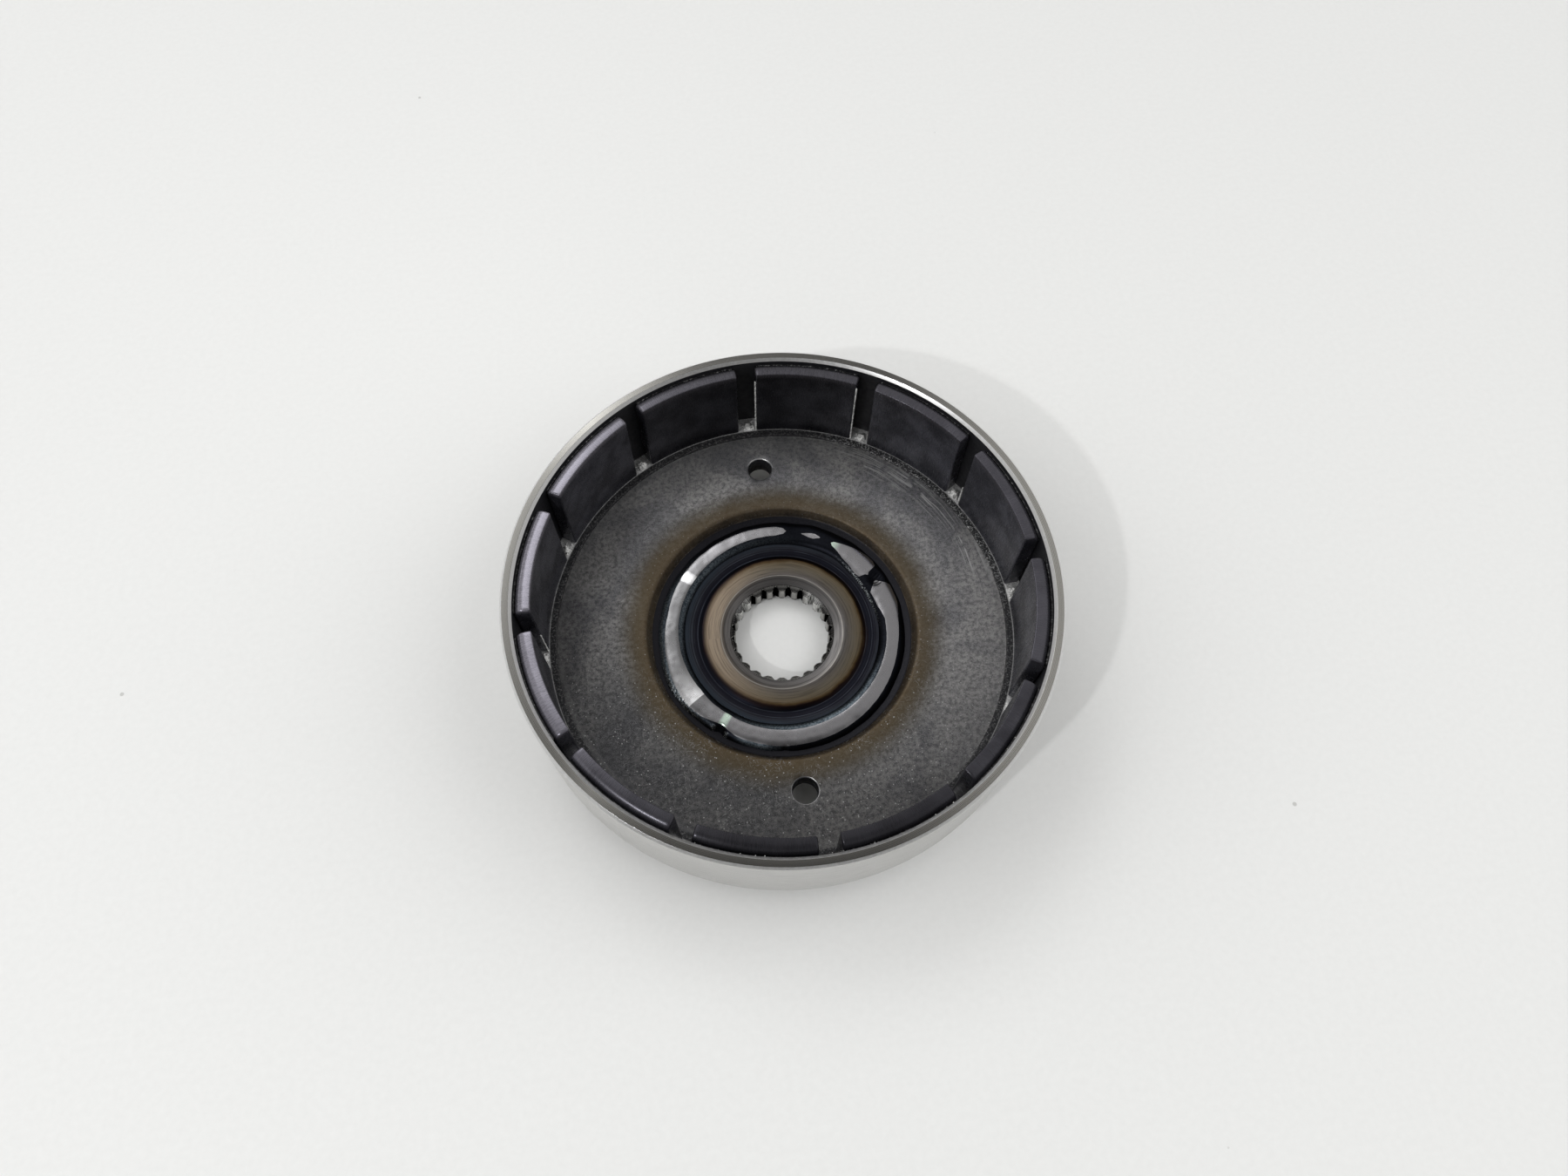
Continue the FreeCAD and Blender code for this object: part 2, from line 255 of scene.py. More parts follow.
class Shader:
    """A material's nodes round one Principled shader. Lengths in it are in millimetres."""

    def __init__(self, name, **fixed):
        self.material = bpy.data.materials.new(name)
        self.material.use_nodes = True
        self.tree = self.material.node_tree
        self.surface = self.tree.nodes["Principled BSDF"]
        for socket, value in fixed.items():
            self.surface.inputs[socket.replace("_", " ")].default_value = value
        self.place = self.vector("SCALE", self.node("ShaderNodeTexCoord").outputs["Object"], 1 / MM)

    def node(self, kind, **settings):
        made = self.tree.nodes.new(kind)
        for key, value in settings.items():
            setattr(made, key, value)
        return made

    def feed(self, socket, value):
        if isinstance(value, bpy.types.NodeSocket):
            self.tree.links.new(value, socket)
        else:
            socket.default_value = value

    def math(self, operation, *values, clamp=False):
        made = self.node("ShaderNodeMath", operation=operation, use_clamp=clamp)
        for socket, value in zip(made.inputs, values):
            self.feed(socket, value)
        return made.outputs[0]

    def times(self, first, second, clamp=False):
        return self.math("MULTIPLY", first, second, clamp=clamp)

    def plus(self, first, second):
        return self.math("ADD", first, second)

    def swing(self, value, size):
        """A noise value, centred on 0 and scaled by a size."""
        return self.times(self.math("SUBTRACT", value, 0.5), size)

    def vector(self, operation, first, second=None):
        made = self.node("ShaderNodeVectorMath", operation=operation)
        self.feed(made.inputs[0], first)
        if second is not None:
            self.feed(made.inputs["Scale" if operation == "SCALE" else 1], second)
        return made.outputs["Value" if operation in ("LENGTH", "DOT_PRODUCT") else "Vector"]

    def combine(self, x, y, z):
        made = self.node("ShaderNodeCombineXYZ")
        for socket, value in zip(made.inputs, (x, y, z)):
            self.feed(socket, value)
        return made.outputs[0]

    def split(self, value):
        made = self.node("ShaderNodeSeparateXYZ")
        self.feed(made.inputs[0], value)
        return made.outputs

    def radius(self):
        """The distance from the axis."""
        return self.vector("LENGTH", self.vector("MULTIPLY", self.place, (1, 1, 0)))

    def height(self):
        return self.split(self.place)[2]

    def angle(self):
        """The angle round the axis, in degrees."""
        x, y, _ = self.split(self.place)
        return self.times(self.math("ARCTAN2", y, x), math.degrees(1))

    def toward(self, x, y):
        """How far a place lies from the axis in one level direction."""
        length = math.hypot(x, y)
        return self.vector("DOT_PRODUCT", self.place, (x / length, y / length, 0.0))

    def painted(self, layer):
        """The numbers painted on the piece's points under this name."""
        return self.node("ShaderNodeAttribute", attribute_name=layer).outputs["Fac"]

    def noise(self, where, scale, detail=4.0, rough=0.55, distortion=0.0):
        made = self.node("ShaderNodeTexNoise")
        self.feed(made.inputs["Vector"], where)
        for socket, value in (("Scale", scale), ("Detail", detail), ("Roughness", rough),
                              ("Distortion", distortion)):
            made.inputs[socket].default_value = value
        return made.outputs[0]

    def cells(self, where, scale, feature="F1", output="Distance"):
        made = self.node("ShaderNodeTexVoronoi", feature=feature)
        self.feed(made.inputs["Vector"], where)
        made.inputs["Scale"].default_value = scale
        return made.outputs[output]

    def between(self, value, low, high, start=0.0, end=1.0, smooth=True):
        """Map a value's stretch from low to high onto start to end, held beyond both."""
        made = self.node("ShaderNodeMapRange", interpolation_type="SMOOTHSTEP" if smooth else "LINEAR")
        self.feed(made.inputs["Value"], value)
        for socket, number in (("From Min", low), ("From Max", high), ("To Min", start), ("To Max", end)):
            self.feed(made.inputs[socket], number)
        return made.outputs[0]

    def band(self, value, low, high, soft):
        """1 where the value lies between low and high, with soft edges."""
        rising = self.between(value, low - soft, low + soft)
        falling = self.between(value, high - soft, high + soft, 1.0, 0.0)
        return self.times(rising, falling)

    def ramp(self, value, stops):
        """A colour for each value, from (value, (r, g, b)) stops."""
        first, last = stops[0][0], stops[-1][0]
        made = self.node("ShaderNodeValToRGB")
        self.feed(made.inputs[0], self.between(value, first, last, smooth=False))
        points = made.color_ramp.elements
        while len(points) < len(stops):
            points.new(0.5)
        for point, (at, colour) in zip(points, stops):
            point.position = (at - first) / (last - first)
            point.color = (*colour, 1.0)
        return made.outputs[0]

    def mix(self, share, first, second, blend="MIX"):
        made = self.node("ShaderNodeMix", data_type="RGBA", blend_type=blend)
        self.feed(made.inputs[0], share)
        for socket, colour in ((made.inputs[6], first), (made.inputs[7], second)):
            self.feed(socket, (*colour, 1.0) if isinstance(colour, tuple) else colour)
        return made.outputs[2]

    def scratches(self, density, width, directions, length=0.12):
        """Fine straight scratches in several directions, each (turn, seed), as a 0 to 1 mask."""
        found = None
        for turn, seed in directions:
            rotated = self.node("ShaderNodeVectorRotate", rotation_type="Z_AXIS")
            self.feed(rotated.inputs["Vector"], self.place)
            rotated.inputs["Angle"].default_value = math.radians(turn)
            stretched = self.vector("MULTIPLY", rotated.outputs[0], (length, 1.0, 0.3))
            wavy = self.vector("ADD", stretched, (seed * 7.3, seed * 3.1, seed))
            line = self.noise(wavy, density, 0.0)
            mask = self.between(line, 0.72, 0.72 + width)
            found = mask if found is None else self.math("MAXIMUM", found, mask)
        return found

    def colour(self, value):
        self.feed(self.surface.inputs["Base Color"], value)

    def roughness(self, value):
        self.feed(self.surface.inputs["Roughness"], value)

    def bump(self, value, depth, below=None):
        """Raise the surface by value times depth millimetres."""
        made = self.node("ShaderNodeBump")
        made.inputs["Strength"].default_value = 1.0
        made.inputs["Distance"].default_value = depth * MM
        self.feed(made.inputs["Height"], value)
        if below is not None:
            self.feed(made.inputs["Normal"], below)
        self.tree.links.new(made.outputs[0], self.surface.inputs["Normal"])
        return made.outputs[0]


def turning_marks(shader, along, pitch=3.0, drift=0.05):
    """Fine lines left by a lathe tool: they hardly change round the axis, and change fast along it."""
    around = shader.times(shader.angle(), drift)
    return shader.noise(shader.combine(along, around, 0.0), pitch, 5.0, 0.65)


def wall_steel():
    """The outer wall: finely turned, pale satin steel."""
    shader = Shader("turned_wall_steel", Metallic=1.0)
    marks = turning_marks(shader, shader.height(), 4.0)
    blotch = shader.noise(shader.place, 0.06, 3.0)
    tone = shader.mix(blotch, (0.56, 0.555, 0.545), (0.67, 0.665, 0.65))
    shader.colour(shader.mix(shader.between(marks, 0.3, 0.7, 0.0, 0.35), tone, (0.42, 0.415, 0.4)))
    shader.roughness(shader.between(marks, 0.2, 0.8, 0.24, 0.42))
    shader.bump(marks, 0.004)
    return shader.material


def rim_steel():
    """The rim's flat: olive-grey, with very fine turning rings and painted shade on its near, far and left
    sides.
    """
    shader = Shader("turned_rim_steel", Metallic=1.0)
    rings = shader.noise(shader.combine(shader.radius(), 0.0, 0.0), 7.0, 2.0)
    stain = shader.noise(shader.place, 0.05, 2.0)
    tone = shader.mix(stain, (0.44, 0.43, 0.4), (0.54, 0.53, 0.5))
    tone = shader.mix(shader.between(rings, 0.4, 0.65, 0.0, 0.5), tone, (0.32, 0.315, 0.295))
    # painted shade: darker on the near, far and left sides, where the rim shows dimmer reflections
    turn = shader.times(shader.plus(shader.angle(), VIEW_TURN), math.radians(1))
    painted_rim_shade = shader.between(shader.math("ABSOLUTE", shader.math("COSINE", turn)), 0.3, 0.95, 0.75, 0.0)
    painted_rim_shade = shader.math("MAXIMUM", painted_rim_shade, shader.between(shader.toward(-1, 0), 35.0, 60.0, 0.0, 0.72))
    shader.colour(shader.mix(painted_rim_shade, tone, (0.035, 0.034, 0.032)))
    shader.roughness(shader.between(rings, 0.3, 0.7, 0.24, 0.32))
    return shader.material


def bright_edge():
    """Freshly cut edges: the rim's inner and outer chamfers and the puller holes' edges."""
    shader = Shader("bright_cut_edge", Metallic=1.0)
    nicks = shader.noise(shader.place, 1.6, 4.0)
    shader.colour(shader.mix(nicks, (0.62, 0.62, 0.62), (0.9, 0.9, 0.9)))
    shader.roughness(shader.between(nicks, 0.3, 0.7, 0.3, 0.4))
    return shader.material


def inner_black():
    """The black coating on the inside of the wall and in the holes."""
    shader = Shader("black_coating", Specular_IOR_Level=0.4)
    patches = shader.noise(shader.place, 0.8, 5.0)
    shader.colour(shader.mix(patches, (0.006, 0.006, 0.008), (0.02, 0.02, 0.023)))
    shader.roughness(shader.between(patches, 0.3, 0.7, 0.4, 0.65))
    shader.bump(patches, 0.02)
    return shader.material


def floor_oxide():
    """The web's open side: dark oxide, scuffed and scratched, tinted brown by the weld's heat."""
    shader = Shader("floor_oxide", Metallic=0.85)
    clouds = shader.noise(shader.place, 0.06, 5.0, 0.62, 0.6)
    mottle = shader.noise(shader.place, 0.9, 6.0, 0.72)
    grain = shader.noise(shader.place, 5.0, 3.0, 0.6)
    base = oxide_greys_with_painted_light(shader, clouds, mottle, grain)
    base = heat_tinted(shader, base, clouds, mottle)
    # a lighter band just inside the spacer ring
    lighter_ring_band = shader.band(shader.radius(), SPACER_INNER_R - 1.6, SPACER_INNER_R - 0.5, 0.35)
    base = shader.mix(shader.times(lighter_ring_band, 0.3), base, (0.2, 0.2, 0.2))
    near_side = shader.between(shader.band(shader.angle(), -170, -10, 40), 0, 1, 0.25, 1.0)
    hairs = hair_scratches(shader, near_side)
    base = shader.mix(shader.times(hairs, 0.45), base, (0.42, 0.42, 0.42))
    specks = shader.between(shader.cells(shader.place, 0.8), 0.09, 0.14, 1.0, 0.0)
    base = shader.mix(shader.times(shader.times(specks, near_side), 0.8), base, (0.6, 0.6, 0.6))
    shader.colour(shader.mix(scuffs(shader), base, (0.65, 0.65, 0.65)))
    shader.roughness(shader.between(mottle, 0.3, 0.75, 0.6, 0.44))
    relief = shader.bump(grain, 0.03)
    shader.bump(hairs, -0.015, relief)
    return shader.material


def oxide_greys_with_painted_light(shader, clouds, mottle, grain):
    """The floor's own greys: cloudy, mottled and grainy, with painted light making them lighter toward the
    far right.
    """
    base = shader.mix(shader.between(clouds, 0.36, 0.64), (0.085, 0.085, 0.09), (0.165, 0.162, 0.16))
    base = shader.mix(shader.between(mottle, 0.62, 0.36, 0.0, 0.75), base, (0.04, 0.04, 0.044))
    base = shader.mix(shader.between(grain, 0.5, 0.72, 0.0, 0.5), base, (0.3, 0.3, 0.3))
    # painted light: the greys multiplied up toward the far right
    painted_far_light = shader.between(shader.toward(0.5, 0.85), -50.0, 40.0, 0.0, 0.75)
    return shader.mix(painted_far_light, base, (3.5, 3.5, 3.5), "MULTIPLY")


def heat_tinted(shader, base, clouds, mottle):
    """Olive-brown just outside the weld's groove, fading outwards with a ragged edge."""
    ragged = shader.plus(shader.radius(), shader.swing(clouds, 4.0))
    ragged = shader.plus(ragged, shader.swing(mottle, 1.6))
    tint = shader.ramp(ragged, [
        (32.6, (0.005, 0.005, 0.007)), (33.8, (0.03, 0.022, 0.015)), (34.9, (0.115, 0.082, 0.044)),
        (37.5, (0.105, 0.08, 0.046)), (43.0, (0.1, 0.087, 0.064))])
    return shader.mix(shader.between(ragged, 37.5, 45.0, 0.9, 0.0), base, tint)


def hair_scratches(shader, near_side):
    """Hair-fine scratches in six directions, in patches, mostly on the near side."""
    directions = [(12, 1), (48, 2), (77, 3), (103, 4), (141, 5), (166, 6)]
    hairs = shader.scratches(5.0, 0.06, directions, 0.12)
    patchy = shader.between(shader.noise(shader.place, 0.12, 2.0), 0.35, 0.65, 0.2, 1.0)
    return shader.times(hairs, shader.times(patchy, near_side))


def scuffs(shader):
    """Long wavy scratches near the floor's edge over one stretch, where a tool has slipped."""
    angle = shader.angle()
    radius = shader.radius()
    bent = shader.noise(shader.place, 0.06, 2.0, 0.5)
    across = shader.plus(shader.plus(radius, shader.times(angle, -0.06)), shader.times(bent, 3.0))
    lines = shader.noise(shader.combine(across, shader.times(angle, 0.02), 0.0), 1.1, 1.0, 0.6)
    off_line = shader.math("ABSOLUTE", shader.math("SUBTRACT", lines, 0.5))
    line = shader.between(off_line, 0.012, 0.05, 1.0, 0.0)
    where = shader.times(shader.band(angle, 8, 68, 9), shader.band(radius, 52.5, 58, 1.5))
    broken = shader.between(shader.noise(shader.place, 0.3, 3.0), 0.36, 0.5)
    return shader.times(shader.times(line, where), broken)


def groove_black():
    """The soot-black shoulder beside the weld."""
    shader = Shader("groove_black", Metallic=0.7)
    soot = shader.noise(shader.place, 2.2, 5.0)
    shader.colour(shader.mix(soot, (0.004, 0.004, 0.006), (0.02, 0.02, 0.026)))
    shader.roughness(shader.between(soot, 0.3, 0.7, 0.35, 0.55))
    shader.bump(soot, 0.03)
    return shader.material


def underside_steel():
    """The unseen side: plain turned steel, a little darker than the wall."""
    shader = Shader("turned_underside_steel", Metallic=1.0)
    rings = turning_marks(shader, shader.radius(), 3.0)
    shader.colour(shader.mix(rings, (0.34, 0.33, 0.32), (0.52, 0.51, 0.5)))
    shader.roughness(shader.between(rings, 0.2, 0.8, 0.28, 0.42))
    shader.bump(rings, 0.006)
    return shader.material


def hub_steel():
    """The hub's open side: bare at the bore, olive-brown further out, blue-black at the weld, with painted
    light on the left of its face.
    """
    shader = Shader("hub_heat_tinted_steel", Metallic=1.0)
    radius = shader.radius()
    rings = turning_marks(shader, radius, 2.6, 0.012)
    # painted light: the face between the countersink and the tint's edge lighter and tanner toward the left
    painted_left_light = shader.times(shader.between(shader.toward(-1, 0.1), 0.0, 20.0), shader.band(radius, 16, 20, 1))
    tint = shader.mix(shader.times(painted_left_light, 0.8), hub_tint(shader), (0.36, 0.29, 0.22))
    body = shader.mix(shader.between(rings, 0.42, 0.7, 0.0, 0.4), tint, (0.012, 0.012, 0.014))
    # the blackened ledge shows its turning as blue-grey ripples
    ripples = shader.between(shader.noise(shader.combine(radius, 0.0, 0.0), 1.7, 3.0), 0.5, 0.62)
    rippled = shader.times(ripples, shader.band(radius, 22.0, 25.0, 0.5))
    patchy = shader.between(shader.noise(shader.place, 0.12, 3.0), 0.35, 0.6, 0.25, 0.9)
    body = shader.mix(shader.times(rippled, patchy), body, (0.075, 0.085, 0.105))
    # the countersink's edge catches the light, with a darker line inside it
    inner_line = shader.band(radius, COUNTERSINK_R - 0.9, COUNTERSINK_R - 0.6, 0.15)
    edge_line = shader.band(radius, COUNTERSINK_R - 0.15, COUNTERSINK_R + 0.15, 0.12)
    body = shader.mix(shader.times(inner_line, 0.5), body, (0.05, 0.048, 0.046))
    shader.colour(shader.mix(shader.times(edge_line, 0.6), body, (0.42, 0.4, 0.37)))
    shader.roughness(shader.between(rings, 0.25, 0.75, 0.3, 0.45))
    shader.bump(rings, 0.02)
    return shader.material


def hub_tint(shader):
    """The heat tint by distance from a point just off the axis, with an uneven edge."""
    tint_centre = shader.vector("SUBTRACT", shader.place, (0.7, 0.06, 0.0))
    off_centre = shader.vector("LENGTH", shader.vector("MULTIPLY", tint_centre, (1, 1, 0)))
    uneven = shader.noise(shader.place, 0.16, 3.0)
    return shader.ramp(shader.plus(off_centre, shader.swing(uneven, 1.6)), [
        (13.0, (0.17, 0.165, 0.165)), (15.4, (0.2, 0.19, 0.185)), (16.2, (0.13, 0.118, 0.11)),
        (18.2, (0.15, 0.13, 0.1)), (19.6, (0.15, 0.12, 0.08)), (20.3, (0.085, 0.055, 0.026)),
        (20.9, (0.02, 0.011, 0.009)), (22.0, (0.01, 0.011, 0.017)), (23.5, (0.014, 0.014, 0.02)),
        (24.4, (0.028, 0.03, 0.038)), (25.6, (0.03, 0.038, 0.05))])


def spline_steel():
    """The bore and its teeth: broached steel, grey on the chamfer, with painted shade down between the teeth
    and painted glints on a few flanks.
    """
    shader = Shader("broached_spline_steel", Metallic=1.0)
    around = shader.times(shader.angle(), 1.4)
    marks = shader.noise(shader.combine(around, shader.times(shader.height(), 0.1), 0.0), 3.0)
    # painted highlights: near-white glints on the flanks of a few teeth on the far side
    painted_tooth_glint = shader.band(shader.angle(), 28, 52, 3)
    painted_tooth_glint = shader.math("MAXIMUM", painted_tooth_glint, shader.band(shader.angle(), 126, 150, 3))
    painted_tooth_glint = shader.times(painted_tooth_glint, shader.between(marks, 0.42, 0.55))
    # painted shade: the spaces between the teeth darkened down in the bore, below the chamfer
    between_teeth = shader.between(shader.between(shader.radius(), TIP_R, ROOT_R), 0.0, 0.5)
    below_chamfer = shader.between(shader.height(), 6.5, 5.6, 0.0, 0.97)
    painted_root_shade = shader.times(between_teeth, below_chamfer)
    painted_root_shade = shader.times(painted_root_shade, shader.between(painted_tooth_glint, 0, 1, 1.0, 0.2))
    tone = shader.mix(marks, (0.24, 0.235, 0.225), (0.5, 0.49, 0.47))
    tone = shader.mix(painted_tooth_glint, tone, (0.95, 0.95, 0.93))
    shader.colour(shader.mix(painted_root_shade, tone, (0.012, 0.012, 0.014)))
    glancing = shader.mix(painted_root_shade, (1.0, 1.0, 1.0), (0.1, 0.1, 0.1))
    shader.feed(shader.surface.inputs["Specular Tint"], glancing)
    shader.roughness(shader.between(marks, 0.3, 0.7, 0.18, 0.32))
    shader.bump(marks, 0.01)
    return shader.material


def weld_metal():
    """The weld: mirror-smooth silver along its crown, between flanks darkened by blue-black oxide, with
    painted highlights, reflections and shade.
    """
    shader = Shader("weld_metal", Metallic=1.0)
    ripple = shader.noise(shader.place, 0.35, 3.0)
    grime = shader.noise(shader.place, 2.4, 5.0, 0.65)
    spark = shader.noise(shader.place, 3.2, 6.0, 0.75)
    oxide_and_sheen = shader.mix(grime, (0.003, 0.003, 0.005), (0.02, 0.022, 0.028))
    blue = shader.mix(shader.between(grime, 0.35, 0.65), (0.08, 0.11, 0.14), (0.36, 0.43, 0.48))
    # blue-grey oxide where painted on the flanks: real tint, partly painted reflection
    oxide_and_sheen = shader.mix(shader.times(shader.painted("blue"), 0.8), oxide_and_sheen, blue)
    # painted shade: the silver band a third darker on the left
    left = shader.band(shader.angle(), -230, -140, 30)
    left = shader.math("MAXIMUM", left, shader.band(shader.angle(), 130, 200, 30))
    satin = shader.mix(left, (0.33, 0.325, 0.34), (0.2, 0.2, 0.205))
    # painted highlights and painted green glints: near-white reflections in the colour
    bright = shader.mix(shader.painted("painted_highlight"), satin, (0.98, 0.98, 1.0))
    bright = shader.mix(shader.painted("painted_green_glint"), bright, (0.75, 0.92, 0.8))
    mask = shader.between(shader.painted("silver"), -0.04, 0.04)
    body = shader.mix(mask, oxide_and_sheen, bright)
    # painted glints: near-white specks on the rough crust
    sparkle = shader.times(shader.between(spark, 0.5, 0.6), shader.painted("crust"), clamp=True)
    shader.colour(shader.mix(sparkle, body, (0.85, 0.92, 0.95)))
    gloss = shader.between(ripple, 0.3, 0.7, 0.24, 0.32)
    shader.roughness(shader.mix(mask, (0.42, 0.42, 0.42), gloss))
    shader.bump(ripple, 0.01)
    return shader.material


def spacer_metal():
    """The spacer ring: pale rough metal in the gaps, dark and crumbly along its inner edge."""
    shader = Shader("spacer_aluminium", Metallic=0.5)
    radius = shader.radius()
    grains = shader.noise(shader.place, 1.8, 5.0, 0.7)
    pale = shader.mix(shader.between(grains, 0.35, 0.65), (0.45, 0.45, 0.45), (0.85, 0.85, 0.85))
    crumbs = shader.between(shader.noise(shader.place, 2.2, 6.0, 0.78), 0.5, 0.62)
    # the pale crumbs show fully between 5 and 70 degrees and faintly elsewhere
    crumb_stretch = shader.band(shader.angle(), 5, 70, 14)
    black = shader.mix(shader.times(crumbs, shader.between(crumb_stretch, 0, 1, 0.3, 1.0)),
                       (0.02, 0.02, 0.022), (0.5, 0.5, 0.5))
    shader.colour(shader.mix(shader.between(radius, MAGNET_R - 0.3, MAGNET_R + 0.2), black, pale))
    shader.roughness(shader.between(grains, 0.3, 0.7, 0.4, 0.6))
    shader.bump(grains, 0.08)
    return shader.material


def magnet_coating():
    """The magnets' coating: black with a faint metallic sheen, plum-grey on top, finely rubbed, with painted
    light and shade by side.
    """
    shader = Shader("magnet_coating", Metallic=0.7)
    around = shader.times(shader.angle(), 4.0)
    outward = shader.times(shader.radius(), 0.35)
    upward = shader.times(shader.height(), 0.35)
    rubbed = shader.noise(shader.combine(around, outward, upward), 1.6, 5.0, 0.65)
    smear = shader.noise(shader.place, 0.12, 4.0)
    body = shader.mix(shader.between(smear, 0.35, 0.65), (0.014, 0.014, 0.018), (0.04, 0.04, 0.048))
    # painted sheen: the magnets greyer at the left and right
    painted_sheen_sides = shader.between(shader.math("ABSOLUTE", shader.toward(1, 0)), 15.0, 50.0)
    body = shader.mix(painted_sheen_sides, body, (2.6, 2.6, 2.6), "MULTIPLY")
    # the tops: rubbed plum-grey, with painted light making them palest at the left and painted shade darkest
    # on the near side
    plum_top_and_painted_light = shader.mix(shader.between(shader.toward(-1, 0), 20.0, 55.0),
                      (0.1, 0.096, 0.112), (0.36, 0.345, 0.4))
    near_side = shader.between(shader.toward(0, -1), 15.0, 45.0, 0.0, 0.8)
    plum_top_and_painted_light = shader.mix(near_side, plum_top_and_painted_light, (0.03, 0.029, 0.034))
    top = shader.between(shader.height(), MAGNET_TOP - 2.0, MAGNET_TOP - 0.3)
    bare = shader.times(top, shader.between(rubbed, 0.3, 0.75, 0.45, 0.85))
    shader.colour(shader.mix(bare, body, plum_top_and_painted_light))
    shader.roughness(shader.between(rubbed, 0.3, 0.7, 0.24, 0.34))
    shader.bump(rubbed, 0.004)
    return shader.material


def adhesive():
    """Cured adhesive: dark, lumpy and dull, with pale dust in it."""
    shader = Shader("cured_adhesive", Specular_IOR_Level=0.5)
    lumps = shader.noise(shader.place, 1.5, 6.0, 0.7)
    shader.colour(shader.mix(shader.between(lumps, 0.5, 0.68), (0.012, 0.012, 0.013), (0.3, 0.3, 0.3)))
    shader.roughness(shader.between(lumps, 0.3, 0.7, 0.3, 0.6))
    shader.bump(lumps, 0.06)
    return shader.material


def pale_adhesive():
    """Squeezed-out adhesive: chalky white with grey dust in its dents."""
    shader = Shader("pale_adhesive", Specular_IOR_Level=0.4)
    dust = shader.noise(shader.place, 1.2, 5.0, 0.7)
    shader.colour(shader.mix(shader.between(dust, 0.4, 0.65), (0.82, 0.82, 0.8), (0.35, 0.35, 0.35)))
    shader.roughness(shader.between(dust, 0.3, 0.7, 0.45, 0.65))
    shader.bump(dust, 0.06)
    return shader.material


def table_top():
    """A pale laminate table with a very fine grain and a few specks."""
    shader = Shader("pale_table", Specular_IOR_Level=0.35)
    grain = shader.noise(shader.place, 0.6, 4.0)
    specks = shader.between(shader.cells(shader.place, 0.035), 0.016, 0.022, 1.0, 0.0)
    tone = shader.mix(grain, (0.78, 0.785, 0.775), (0.84, 0.845, 0.835))
    shader.colour(shader.mix(shader.times(specks, 0.5), tone, (0.3, 0.3, 0.28)))
    shader.roughness(shader.between(grain, 0.3, 0.7, 0.35, 0.5))
    return shader.material


# ------------ the cup

def make_cup():
    """The steel cup with its groove, rim and puller holes."""
    slots = [wall_steel(), rim_steel(), bright_edge(), inner_black(), floor_oxide(), groove_black(),
             underside_steel()]
    wall, rim, edge, inside, floor, groove, under = range(len(slots))
    outline = rounded([
        (PILOT_R, WEB_BOTTOM, 0, under),
        (OUTER_R, WEB_BOTTOM, CORNER_ROUND, wall),
        (OUTER_R, RIM_TOP - RIM_OUTER_CHAMFER, 0.15, edge),
        (OUTER_R - RIM_OUTER_CHAMFER, RIM_TOP, 0.15, rim),
        (WALL_R + RIM_INNER_CHAMFER, RIM_TOP, 0.12, edge),
        (WALL_R, RIM_TOP - RIM_INNER_CHAMFER, 0.12, inside),
        (WALL_R, FLOOR, 0.3, floor),
        (*GROOVE, 1.2, floor),
        (*GROOVE_FOOT, 1.0, groove),
        (WELD_OUTER_R, WELD_OUTER_TOE, 0, groove),
        (PILOT_R, WELD_ROOT, 0, groove),
    ])
    cup = turned(spaced(outline, 2.5), 360)
    piece = new_piece("cup", cup, slots)
    for angle, r in HOLES:
        bore_hole(piece, polar(r, angle), inside, edge)
    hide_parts("rotor_cup")


def bore_hole(piece, middle, inside, edge):
    """Cut one puller hole with its thin bright chamfer through the cup's web."""
    outline = [(0.0, 0.0), (HOLE_R, 0.0), (HOLE_R, FLOOR - 0.3), (HOLE_R + HOLE_CHAMFER, FLOOR + 0.05),
               (HOLE_R + HOLE_CHAMFER, FLOOR + 4), (0.0, FLOOR + 4)]
    bm = bmesh.new()
    profile = [bm.verts.new((r, 0, z)) for r, z in outline]
    edges = [bm.edges.new(pair) for pair in zip(profile, profile[1:])]
    bmesh.ops.spin(bm, geom=profile + edges, angle=math.tau, steps=64, axis=(0, 0, 1), cent=(0, 0, 0))
    bmesh.ops.remove_doubles(bm, verts=bm.verts, dist=0.001)
    bmesh.ops.translate(bm, verts=bm.verts, vec=(*middle, 0))
    bmesh.ops.scale(bm, vec=(MM, MM, MM), verts=bm.verts)
    bmesh.ops.recalc_face_normals(bm, faces=bm.faces)
    for face in bm.faces:
        chamfered = abs(face.calc_center_median().z / MM - FLOOR + 0.125) < 0.1
        face.material_index = edge if chamfered else inside
        face.smooth = True
    mesh = bpy.data.meshes.new("drill")
    bm.to_mesh(mesh)
    bm.free()
    for material in piece.data.materials:
        mesh.materials.append(material)
    drill = bpy.data.objects.new("drill", mesh)
    bpy.context.scene.collection.objects.link(drill)
    cut = piece.modifiers.new("hole", "BOOLEAN")
    cut.operation = "DIFFERENCE"
    cut.solver = "EXACT"
    cut.object = drill
    bpy.context.view_layer.objects.active = piece
    bpy.ops.object.modifier_apply(modifier=cut.name)
    bpy.data.objects.remove(drill)


# ------------ the hub

def spline_radii():
    """The bore's (angle, radius) all round: straight-sided spaces between flat-topped teeth."""
    pitch = FULL_TURN / TEETH
    side = TIP_R * math.sin(math.radians(pitch / 2)) - TOOTH_LAND / 2
    tip = Vector((TIP_R, side))
    root = Vector((ROOT_R, ROOT_FLAT / 2))
    flank = [root.lerp(tip, step / 5) for step in range(6)]
    half = [(math.degrees(math.atan2(p.y, p.x)), p.length) for p in flank]
    tip_angle = half[-1][0]
    land = [tip_angle + (pitch / 2 - tip_angle) * step / 2 for step in (1, 2)]
    half += [(angle, half[-1][1]) for angle in land]
    whole = [(-angle, r) for angle, r in reversed(half[:-1])] + half
    return [(tooth * pitch + angle, r) for tooth in range(TEETH) for angle, r in whole]


